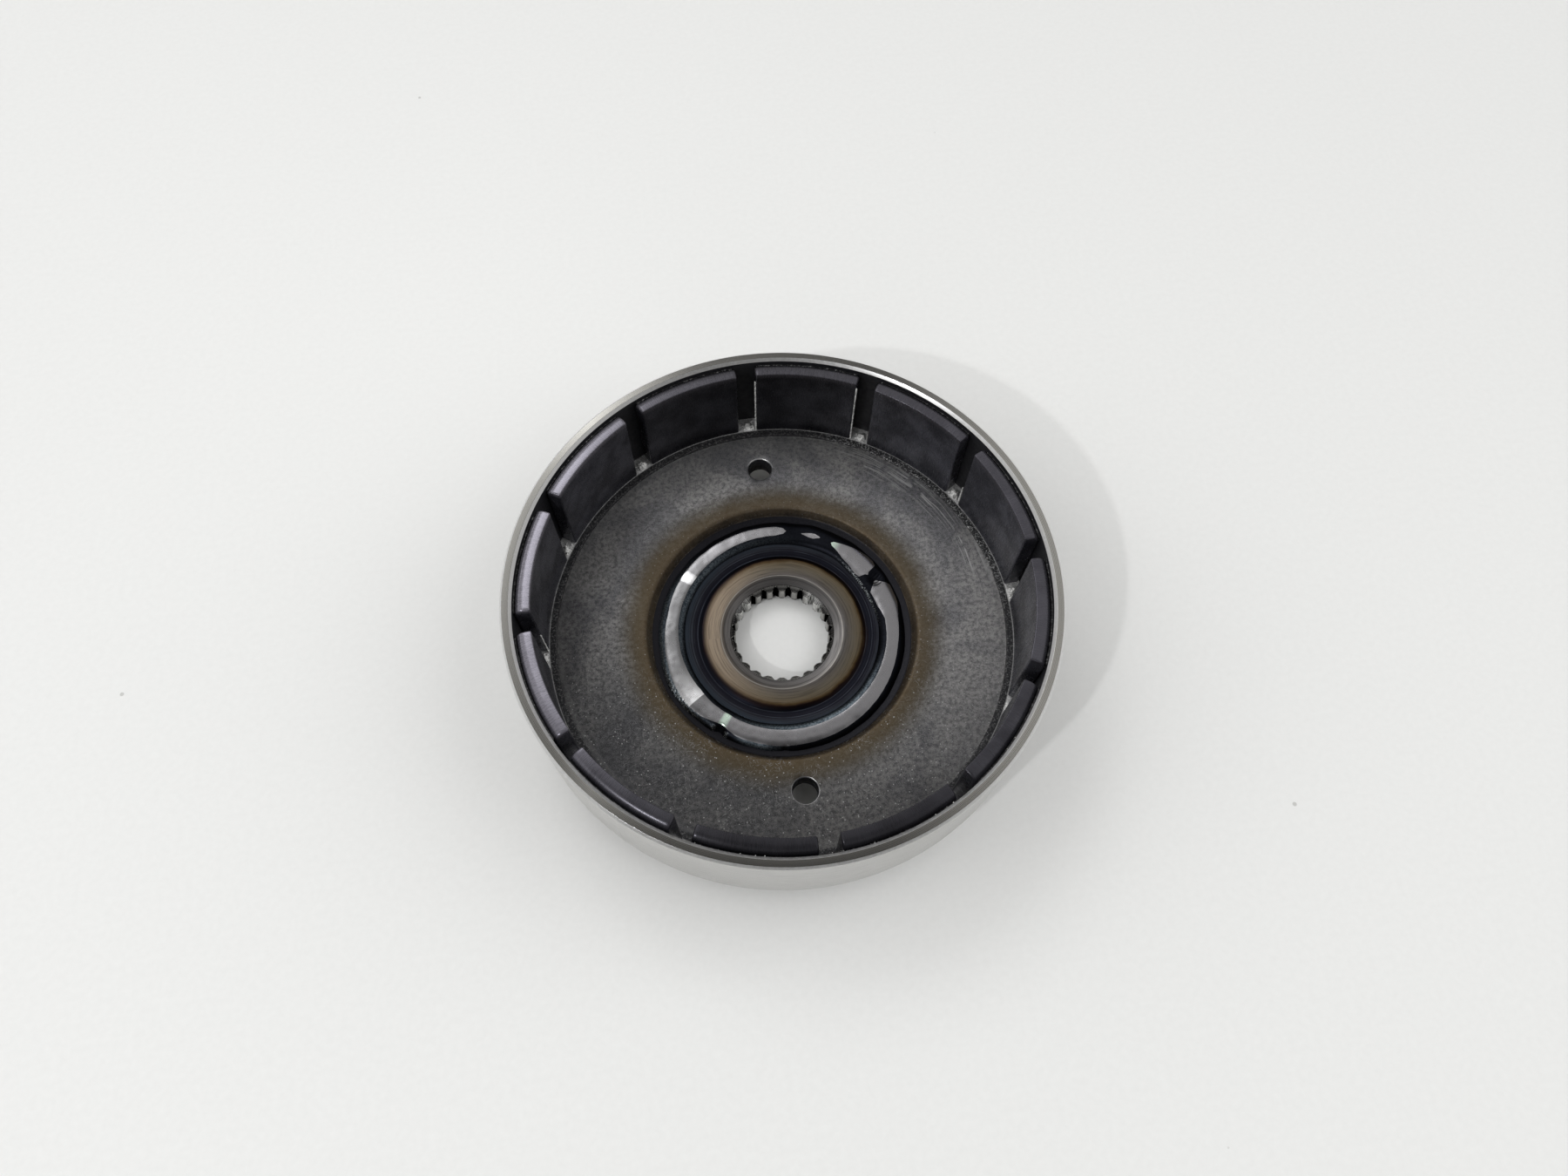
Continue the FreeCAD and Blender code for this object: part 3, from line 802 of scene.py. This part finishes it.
def make_hub():
    """The hub: turned outside, with a chamfered, splined bore."""
    slots = [hub_steel(), spline_steel(), underside_steel()]
    face, bore, under = range(len(slots))
    mouth_r, mouth_z = BORE_MOUTH
    outside = spaced(rounded([
        (mouth_r, 0.0, 0.1, under),
        (BOSS_R - BOSS_CHAMFER, 0.0, 0.1, under),
        (BOSS_R, BOSS_CHAMFER, 0.1, under),
        (BOSS_R, FLANGE_BOTTOM, 0.1, under),
        (FLANGE_R - BOSS_CHAMFER, FLANGE_BOTTOM, 0.1, under),
        (FLANGE_R, FLANGE_BOTTOM + BOSS_CHAMFER, 0.1, under),
        (FLANGE_R, WEB_BOTTOM, 0, under),
        (PILOT_R, WEB_BOTTOM, 0, under),
        (PILOT_R, WELD_ROOT, 0, face),
        (WELD_INNER_R, WELD_INNER_TOE, 0, face),
        (*LEDGE, 0.6, face),
        (*FACE_EDGE, 0.5, face),
        (COUNTERSINK_R, FACE_EDGE[1], 0.3, face),
        (mouth_r, mouth_z, 0.1, bore),
    ]), 1.0)
    chamfer = (mouth_r - TIP_R) / (mouth_z - LEAD_IN_TOP)
    foot_chamfer = (mouth_r - TIP_R) / FOOT_LEAD_IN
    inside_heights = [mouth_z - 0.1 * step for step in range(1, 14)]
    inside_heights += [LEAD_IN_TOP - 0.5 * step for step in range(1, 10)]
    inside_heights += [FOOT_LEAD_IN - 0.1 * step for step in range(10)]
    outlines = []
    angles = []
    for angle, tooth_r in spline_radii():
        inside = []
        for z in inside_heights:
            cone = TIP_R + max((z - LEAD_IN_TOP) * chamfer, (FOOT_LEAD_IN - z) * foot_chamfer)
            inside.append((min(mouth_r, max(tooth_r, cone)), z, bore))
        outlines.append(outside + inside)
        angles.append(angle)
    piece = new_piece("hub", lathe(outlines, angles), slots)
    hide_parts("splined_hub")


# ------------ the weld

def along_line(value, points):
    """Read a height off straight lines between (place, height) points."""
    for (r0, z0), (r1, z1) in zip(points, points[1:]):
        if value <= r1:
            return z0 + (z1 - z0) * (value - r0) / (r1 - r0)
    return points[-1][1]


def round_noise(angle, radius, seed, size):
    """Smooth noise, -1 to 1, that joins up round the axis; size is its grain in mm."""
    x, y = polar(radius / size, angle)
    return noise.noise(Vector((x, y, seed)))


def weld_toes(angle):
    """The weld's inner and outer edge at an angle, as (radius, height) on the hub and the groove."""
    spill = hump(apart(angle, SPILL_ANGLE), 0, 34)
    inner = WELD_INNER_R + 0.25 * round_noise(angle, 25, 1.0, 6) - 0.9 * spill
    outer = WELD_OUTER_R + 0.2 * round_noise(angle, 32, 2.0, 5) + 0.5 * hump(apart(angle, CRUST_ANGLE), 0, 26)
    hub_slope = [FACE_EDGE, LEDGE, (WELD_INNER_R, WELD_INNER_TOE), (PILOT_R, WELD_INNER_TOE)]
    groove_slope = [(PILOT_R, WELD_ROOT), (WELD_OUTER_R, WELD_OUTER_TOE), GROOVE_FOOT, GROOVE]
    return ((inner, along_line(inner, hub_slope) - 0.08), (outer, along_line(outer, groove_slope) - 0.08))


def away_from(r, angle, spot):
    """The distance in mm from a point to a spot, both given by radius and angle."""
    spot_angle, spot_r = spot
    x, y = polar(r, angle)
    spot_x, spot_y = polar(spot_r, spot_angle)
    return math.hypot(x - spot_x, y - spot_y)


def weld_point(angle, across):
    """A point (r, z) of the weld's free surface; across runs from 0 inside to 1 outside."""
    (inner_r, inner_z), (outer_r, outer_z) = weld_toes(angle)
    r = inner_r + (outer_r - inner_r) * across
    side = 2 * across - 1
    height = CROWN * (1 + 0.1 * round_noise(angle, 28, 3.0, 9)) * (1 - abs(side) ** 3.6)
    sunken = hump(apart(angle, SUNKEN_ANGLE), 0, 15)
    height -= 0.4 * sunken * (1 - side * side)
    z = inner_z + (outer_z - inner_z) * across + height + 0.02 * round_noise(angle, r, 4.0, 1.7)
    # the crater where the arc was broken off, ringed with ripples
    off = away_from(r, angle, CRATER)
    z -= 0.8 * hump(off, 0, 3.2)
    along = apart(angle, 29) * math.radians(r) - 0.12 * (r - CRATER[1]) ** 2
    z += 0.07 * math.cos(along * 2 * math.pi / 0.8) * hump(off, 0, 3.2)
    # the rough crust on the outer edge, a tack's pit, and a nick
    x, y = polar(r, angle)
    rough = hump(apart(angle, CRUST_ANGLE), 0, 30) * max(0.0, side - 0.6)
    z += 1.1 * rough * noise.fractal(Vector((x * 1.6, y * 1.6, 5.0)), 0.8, 2.2, 4)
    z -= 1.1 * hump(away_from(r, angle, TACK), 0, 2.2)
    z -= 0.9 * hump(apart(angle, NICK_ANGLE), 0, 2.2) * max(0.0, side - 0.55)
    return r, z


def inside_strip(strip, angle, r):
    """How far inside a strip of (angle, inner, outer) knots a point lies, in mm; negative outside."""
    turned_angle = angle if angle >= strip[0][0] - 20 else angle + FULL_TURN
    start, end = strip[0][0], strip[-1][0]
    held = min(end, max(start, turned_angle))
    inner = along_line(held, [(knot, low) for knot, low, _ in strip])
    outer = along_line(held, [(knot, high) for knot, _, high in strip])
    beyond = abs(turned_angle - held) * math.radians(r)
    return min(r - inner, outer - r) - beyond


def weld_marks(angle, r):
    """The weld's painted marks at a point: silver, blue oxide with painted reflection, painted highlight,
    painted green glint and crust.
    """
    wobble = 0.07 * round_noise(angle, r, 6.0, 1.3)
    silver = max(inside_strip(strip, angle, r) for strip in (BAND, POOL, PATCH)) + wobble
    # blue oxide on the flanks, with painted reflection: strongest where a flank faces the lights
    outer_blue = hump(apart(angle, 180), 0, 60) + 0.8 * hump(apart(angle, 252), 0, 14)
    inner_blue = 1.1 * hump(apart(angle, 285), 0, 62) + 0.45 * hump(apart(angle, 150), 0, 90)
    blue = outer_blue * hump(r, 31.7, 1.5) + inner_blue * hump(r, 26.4, 1.4)
    # painted highlights: reflections of the lights at 142 degrees and from 185 to 214.5 degrees
    painted_highlight = hump(apart(angle, 142), 0, 3.5) ** 0.4
    if 185 < angle < 214.5:
        painted_highlight = max(painted_highlight, ((angle - 185) / 29.5) ** 2.5)
    # painted green-white glints at 232.3 and 54 degrees
    painted_green_glint = max(hump(apart(angle, 232.3), 0, 2.4) ** 0.3, hump(apart(angle, 54), 0, 5))
    crust = 1.2 * hump(apart(angle, CRUST_ANGLE), 0, 24) * hump(r, 32.2, 0.9)
    crust = max(crust, hump(abs(away_from(r, angle, TACK) - 1.9), 0, 0.8) * (r > 31))
    crust = max(crust, hump(apart(angle, 22), 0, 30) * hump(r, 25.0 + 0.0012 * apart(angle, 20) ** 2, 0.5))
    return max(-0.5, min(0.5, silver)), min(1.0, blue), painted_highlight, painted_green_glint, crust


def make_weld():
    """The weld bead: a crowned ring that carries the marks of its start, its end and a tack."""
    steps_across, steps_round = 40, 1200
    angles = [FULL_TURN * step / steps_round for step in range(steps_round)]
    outlines = []
    paint = {layer: [] for layer in ("silver", "blue", "painted_highlight", "painted_green_glint", "crust")}
    for angle in angles:
        points = [(PILOT_R, WELD_ROOT)]
        points += [weld_point(angle, step / steps_across) for step in range(steps_across + 1)]
        outlines.append([(r, z, 0) for r, z in points])
        for r, _ in points:
            for values, mark in zip(paint.values(), weld_marks(angle, r)):
                values.append(mark)
    piece = new_piece("weld", lathe(outlines, angles), [weld_metal()], sharp=70, paint=paint)
    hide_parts("weld_bead")


# ------------ spacer, magnets and adhesive

def make_spacer():
    """The flat ring that the magnets stand on."""
    outline = rounded([
        (SPACER_INNER_R, FLOOR, 0, 0),
        (WALL_R, FLOOR, 0, 0),
        (WALL_R, SPACER_TOP, 0, 0),
        (SPACER_INNER_R, SPACER_TOP, 0.25, 0),
    ])
    piece = new_piece("spacer", turned(spaced(outline, 1.0), 360), [spacer_metal()])
    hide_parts("spacer_ring")


def magnet_section(inset):
    """A magnet's outline in radius and height, drawn in by an inset for its rounded ends."""
    corners = [
        (MAGNET_R + inset, SPACER_TOP + inset, 0.2, 0),
        (MAGNET_BACK_R - inset, SPACER_TOP + inset, 0.2, 0),
        (MAGNET_BACK_R - inset, MAGNET_TOP - inset, MAGNET_ROUND, 0),
        (MAGNET_R + inset, MAGNET_TOP - inset, 0.25, 0),
    ]
    return rounded(corners, 8)


def make_magnet(name, material):
    """One arc magnet, with small roundings where its sides meet its ends."""
    index = MAGNETS.index(name)
    middle = FIRST_MAGNET + index * MAGNET_STEP
    bm = bmesh.new()
    stations = []
    half = MAGNET_ARC / 2
    for step in range(5):
        share = step / 4
        inset = END_ROUND * (1 - math.sin(share * math.pi / 2))
        along = math.degrees(END_ROUND * (1 - math.cos(share * math.pi / 2)) / MAGNET_R)
        stations.append((-half + along, inset))
    inner = [(-half + MAGNET_ARC * step / 26, 0.0) for step in range(1, 26)]
    stations = stations + inner + [(-angle, inset) for angle, inset in reversed(stations)]
    rings = []
    for angle, inset in stations:
        section = magnet_section(inset)
        rings.append([bm.verts.new((*polar(r, middle + angle), z)) for r, z, _ in section])
    for ring, following in zip(rings, rings[1:]):
        for point in range(len(ring)):
            after = (point + 1) % len(ring)
            bm.faces.new((ring[point], following[point], following[after], ring[after]))
    bm.faces.new(rings[0])
    bm.faces.new(rings[-1])
    piece = new_piece("coated_" + name, bm, [material])
    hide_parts(name)


def dress_bonds():
    """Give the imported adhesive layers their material."""
    material = adhesive()
    for name in sorted(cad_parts):
        if name.startswith("magnet_bond"):
            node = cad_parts[name]
            node.data.materials.clear()
            node.data.materials.append(material)


def add_lump(bm, middle, size, seed, detail=2):
    """One irregular lump: a ball stretched to the given half sizes and dented by noise."""
    made = bmesh.ops.create_icosphere(bm, subdivisions=detail, radius=1.0)["verts"]
    shift = Vector((seed * 3.7, seed * 1.3, seed * 2.1))
    for vertex in made:
        dent = 1 + 0.45 * noise.noise(vertex.co * 1.3 + shift) + 0.2 * noise.noise(vertex.co * 3.5 + shift)
        vertex.co = Vector(middle) + Vector(size) * vertex.co * dent


def in_polar(r, angle, z):
    return (*polar(r, angle), z)


def make_squeeze_out():
    """Adhesive that was pressed out: plugs at the feet of the gaps, seams and crumbs."""
    pick = random.Random(5)
    bm = bmesh.new()
    for index in range(len(MAGNETS)):
        angle = gap_angle(index)
        high = 0.7 if index in SMALL_PLUGS else pick.uniform(1.3, 2.0)
        at = in_polar(61.3, angle + pick.uniform(-0.4, 0.4), SPACER_TOP + 0.1)
        add_lump(bm, at, (1.1, 1.1, high), index, 4)
        for step in range(14):
            at = in_polar(60.4 + pick.uniform(0, 2.5), angle + pick.uniform(-1.8, 1.8), SPACER_TOP + 0.05)
            add_lump(bm, at, [pick.uniform(0.1, 0.32)] * 3, 20 + step)
    for index, side, low, high in SEAMS:
        angle = gap_angle(index) + side * (MAGNET_STEP - MAGNET_ARC) / 2
        steps = int((high - low) / 0.5)
        for step in range(steps):
            z = low + (high - low) * step / steps
            at = in_polar(MAGNET_R + 0.2 + pick.uniform(-0.04, 0.04), angle - side * 0.15, z)
            add_lump(bm, at, (0.2, 0.2, 0.5), 50 + step)
    for step in range(16):
        at = in_polar(WALL_R - 0.15, pick.uniform(215, 325), MAGNET_TOP + pick.uniform(-0.7, 0.1))
        add_lump(bm, at, [pick.uniform(0.05, 0.12)] * 3, 90 + step)
    new_piece("adhesive_squeeze_out", bm, [pale_adhesive()], sharp=80)


def gap_angle(index):
    """The middle of the gap after a magnet."""
    return FIRST_MAGNET + (index + 0.5) * MAGNET_STEP


# ------------ the scene round it

def in_view(right, away, up):
    """A direction or place given along the picture's right, away from the viewer, and up."""
    turn = math.radians(-VIEW_TURN)
    return Vector((right * math.cos(turn) - away * math.sin(turn),
                   right * math.sin(turn) + away * math.cos(turn), up))


def make_table():
    """A plain table top, a hair below the part's lowest point."""
    bm = bmesh.new()
    bmesh.ops.create_grid(bm, x_segments=1, y_segments=1, size=3.0)
    mesh = bpy.data.meshes.new("table")
    bm.to_mesh(mesh)
    bm.free()
    mesh.materials.append(table_top())
    table = bpy.data.objects.new("table", mesh)
    table.location.z = cad_box[0][2] - 0.00005
    bpy.context.scene.collection.objects.link(table)


def make_camera():
    """The camera: 25 mm, 65.5 degrees above the table, turned a little about its own line of sight."""
    outer = OUTER_R * MM
    elevation = math.radians(65.5)
    roll = math.radians(1.93)
    distance = 3.854 * outer
    target = in_view(0.0018 * outer, -0.0206 * outer, RIM_TOP * MM)
    back = in_view(0, -math.cos(elevation), math.sin(elevation))
    right = in_view(1, 0, 0)
    up = back.cross(right)
    camera_right = right * math.cos(roll) + up * math.sin(roll)
    camera_up = up * math.cos(roll) - right * math.sin(roll)
    data = bpy.data.cameras.new("camera")
    data.sensor_width = 36.0
    data.lens = 25.06
    data.clip_start = 0.01
    camera = bpy.data.objects.new("camera", data)
    place = target + back * distance
    camera.matrix_world = Matrix((
        (camera_right.x, camera_up.x, back.x, place.x),
        (camera_right.y, camera_up.y, back.y, place.y),
        (camera_right.z, camera_up.z, back.z, place.z),
        (0, 0, 0, 1)))
    bpy.context.scene.collection.objects.link(camera)
    bpy.context.scene.camera = camera


def softbox(name, toward, distance, size, power, mirrored=True):
    """A square area light, placed along a direction from the part and facing it."""
    direction = in_view(*toward).normalized()
    data = bpy.data.lights.new(name, "AREA")
    data.shape = "SQUARE"
    data.size = size
    data.energy = power
    light = bpy.data.objects.new(name, data)
    light.visible_glossy = mirrored
    light.location = direction * distance
    light.rotation_euler = direction.to_track_quat("Z", "Y").to_euler()
    bpy.context.scene.collection.objects.link(light)


def make_room():
    """The surroundings: a pale ceiling, darker over the viewer's head and on the viewer's side."""
    world = bpy.data.worlds.new("room")
    world.use_nodes = True
    tree = world.node_tree

    def toward(direction, start, full):
        """0 to 1 as a direction comes near the given one; start and full are cosines."""
        dot = tree.nodes.new("ShaderNodeVectorMath")
        dot.operation = "DOT_PRODUCT"
        tree.links.new(tree.nodes.get("Coordinates").outputs["Generated"], dot.inputs[0])
        dot.inputs[1].default_value = in_view(*direction).normalized()
        share = tree.nodes.new("ShaderNodeMapRange")
        share.interpolation_type = "SMOOTHSTEP"
        share.inputs["From Min"].default_value = start
        share.inputs["From Max"].default_value = full
        tree.links.new(dot.outputs["Value"], share.inputs["Value"])
        return share.outputs[0]

    def dimmed(brightness, share, factor):
        """The brightness, scaled by the factor where the share is 1."""
        scale = tree.nodes.new("ShaderNodeMapRange")
        scale.inputs["To Min"].default_value = 1.0
        scale.inputs["To Max"].default_value = factor
        tree.links.new(share, scale.inputs["Value"])
        product = tree.nodes.new("ShaderNodeMath")
        product.operation = "MULTIPLY"
        product.inputs[0].default_value = brightness if isinstance(brightness, float) else 0.0
        if not isinstance(brightness, float):
            tree.links.new(brightness, product.inputs[0])
        tree.links.new(scale.outputs[0], product.inputs[1])
        return product.outputs[0]

    tree.nodes.new("ShaderNodeTexCoord").name = "Coordinates"
    strength = dimmed(0.52, toward((0.0, -1.0, 0.35), 0.45, 0.8), 0.42)
    strength = dimmed(strength, toward((0.0, -0.3, 1.0), 0.86, 0.96), 0.25)
    background = tree.nodes["Background"]
    background.inputs["Color"].default_value = (1.0, 0.99, 0.975, 1.0)
    tree.links.new(strength, background.inputs["Strength"])
    bpy.context.scene.world = world


def make_lights():
    """One small hard light from the near left, and large soft ones that mirrors don't show."""
    softbox("key", (-0.69, -0.74, 1.0), 1.6, 0.05, 4.3)
    softbox("right", (1.0, 0.05, 0.85), 1.8, 1.8, 14.5, mirrored=False)
    softbox("near", (-0.1, -1.0, 0.9), 1.8, 1.5, 3.2, mirrored=False)
    softbox("upper_left", (-0.5, 0.75, 1.2), 1.8, 0.7, 4.0)
    softbox("left", (-1.0, 0.0, 0.75), 1.8, 1.6, 11.0, mirrored=False)


make_cup()
make_hub()
make_weld()
make_spacer()
coating = magnet_coating()
for magnet in MAGNETS:
    make_magnet(magnet, coating)
dress_bonds()
make_squeeze_out()
make_table()
make_camera()
make_room()
make_lights()
bpy.context.scene.view_settings.view_transform = "Standard"
